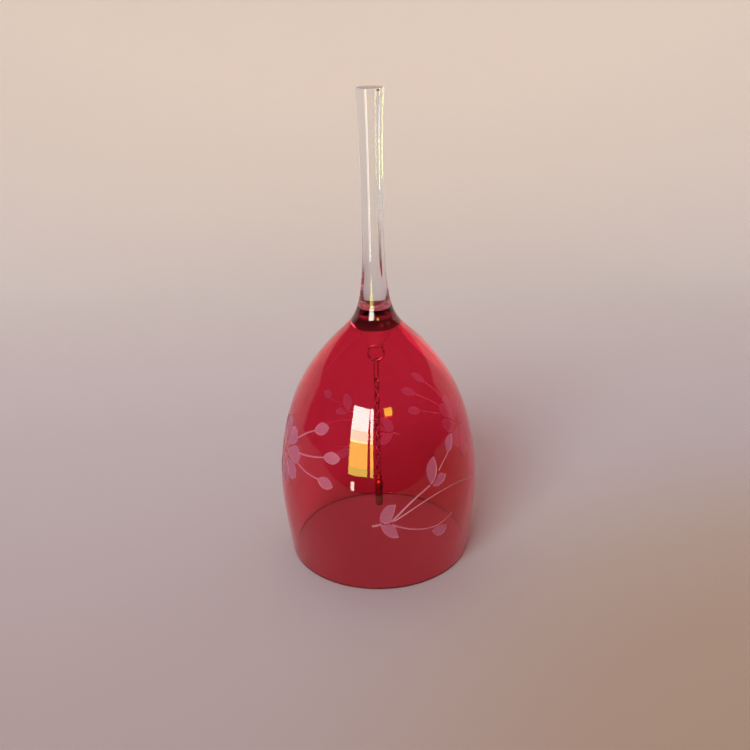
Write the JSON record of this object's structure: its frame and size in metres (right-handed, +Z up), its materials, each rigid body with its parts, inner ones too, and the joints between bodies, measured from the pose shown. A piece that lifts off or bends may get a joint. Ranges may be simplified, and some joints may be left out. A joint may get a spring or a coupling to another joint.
{
  "type": "glass bell",
  "caption": "Goblet-shaped table bell of engraved ruby-stained glass with a clear faceted stem as its handle and a clapper on a fine chain.",
  "frame": {"origin": "centre of the rim's flat underside, where the bell stands", "axes": "+Z up along the bell's axis towards the end of the stem, -Y towards the viewer of the engraved front"},
  "size_m": [0.0766, 0.0766, 0.1777],
  "materials": {
    "ruby_glass": "clear glass with a lustrous ruby stain outside, motifs engraved through it to a frosted surface",
    "clear_glass": "clear polished glass",
    "clear_glue": "clear wrinkled glue",
    "nickel_wire": "nickel-plated wire",
    "bronze": "darkened bronze, turned"
  },
  "bodies": {
    "bell": {"bell_bowl": "ruby_glass", "stem_handle": "clear_glass", "glue_pad": "clear_glue", "split_ring": "nickel_wire"},
    "long_link": {"long_link": "nickel_wire"},
    "chain_link_01": {"chain_link_01": "nickel_wire"},
    "chain_link_02": {"chain_link_02": "nickel_wire"},
    "chain_link_03": {"chain_link_03": "nickel_wire"},
    "chain_link_04": {"chain_link_04": "nickel_wire"},
    "chain_link_05": {"chain_link_05": "nickel_wire"},
    "chain_link_06": {"chain_link_06": "nickel_wire"},
    "chain_link_07": {"chain_link_07": "nickel_wire"},
    "chain_link_08": {"chain_link_08": "nickel_wire"},
    "chain_link_09": {"chain_link_09": "nickel_wire"},
    "chain_link_10": {"chain_link_10": "nickel_wire"},
    "chain_link_11": {"chain_link_11": "nickel_wire"},
    "chain_link_12": {"chain_link_12": "nickel_wire"},
    "clapper": {"clapper": "bronze"}
  },
  "joints": [
    {"name": "long_link_swing", "type": "hinge", "parent": "bell", "child": "long_link", "pos_m": [0, 0, 0.0784], "axis": [1, 0, 0], "range_deg": [-6, 6]},
    {"name": "chain_link_01_swing", "type": "hinge", "parent": "long_link", "child": "chain_link_01", "pos_m": [0, 0, 0.0705], "axis": [0.6428, 0.766, 0], "range_deg": [-12.5, 12.5]},
    {"name": "chain_link_02_swing", "type": "hinge", "parent": "chain_link_01", "child": "chain_link_02", "pos_m": [0, 0, 0.06728], "axis": [0.766, -0.6428, 0], "range_deg": [-12.5, 12.5]},
    {"name": "chain_link_03_swing", "type": "hinge", "parent": "chain_link_02", "child": "chain_link_03", "pos_m": [0, 0, 0.06406], "axis": [0.6428, 0.766, 0], "range_deg": [-3.5, 3.5]},
    {"name": "chain_link_04_swing", "type": "hinge", "parent": "chain_link_03", "child": "chain_link_04", "pos_m": [0, 0, 0.06085], "axis": [0.766, -0.6428, 0], "range_deg": [-3.5, 3.5]},
    {"name": "chain_link_05_swing", "type": "hinge", "parent": "chain_link_04", "child": "chain_link_05", "pos_m": [0, 0, 0.05763], "axis": [0.6428, 0.766, 0], "range_deg": [-3.5, 3.5]},
    {"name": "chain_link_06_swing", "type": "hinge", "parent": "chain_link_05", "child": "chain_link_06", "pos_m": [0, 0, 0.05441], "axis": [0.766, -0.6428, 0], "range_deg": [-3.5, 3.5]},
    {"name": "chain_link_07_swing", "type": "hinge", "parent": "chain_link_06", "child": "chain_link_07", "pos_m": [0, 0, 0.05119], "axis": [0.6428, 0.766, 0], "range_deg": [-3.5, 3.5]},
    {"name": "chain_link_08_swing", "type": "hinge", "parent": "chain_link_07", "child": "chain_link_08", "pos_m": [0, 0, 0.04797], "axis": [0.766, -0.6428, 0], "range_deg": [-3.5, 3.5]},
    {"name": "chain_link_09_swing", "type": "hinge", "parent": "chain_link_08", "child": "chain_link_09", "pos_m": [0, 0, 0.04475], "axis": [0.6428, 0.766, 0], "range_deg": [-3.5, 3.5]},
    {"name": "chain_link_10_swing", "type": "hinge", "parent": "chain_link_09", "child": "chain_link_10", "pos_m": [0, 0, 0.04152], "axis": [0.766, -0.6428, 0], "range_deg": [-3.5, 3.5]},
    {"name": "chain_link_11_swing", "type": "hinge", "parent": "chain_link_10", "child": "chain_link_11", "pos_m": [0, 0, 0.0383], "axis": [0.6428, 0.766, 0], "range_deg": [-3.5, 3.5]},
    {"name": "chain_link_12_swing", "type": "hinge", "parent": "chain_link_11", "child": "chain_link_12", "pos_m": [0, 0, 0.03508], "axis": [0.766, -0.6428, 0], "range_deg": [-3.5, 3.5]},
    {"name": "clapper_swing", "type": "hinge", "parent": "chain_link_12", "child": "clapper", "pos_m": [0, 0, 0.03186], "axis": [0.6428, 0.766, 0], "range_deg": [-8, 8]}
  ]
}
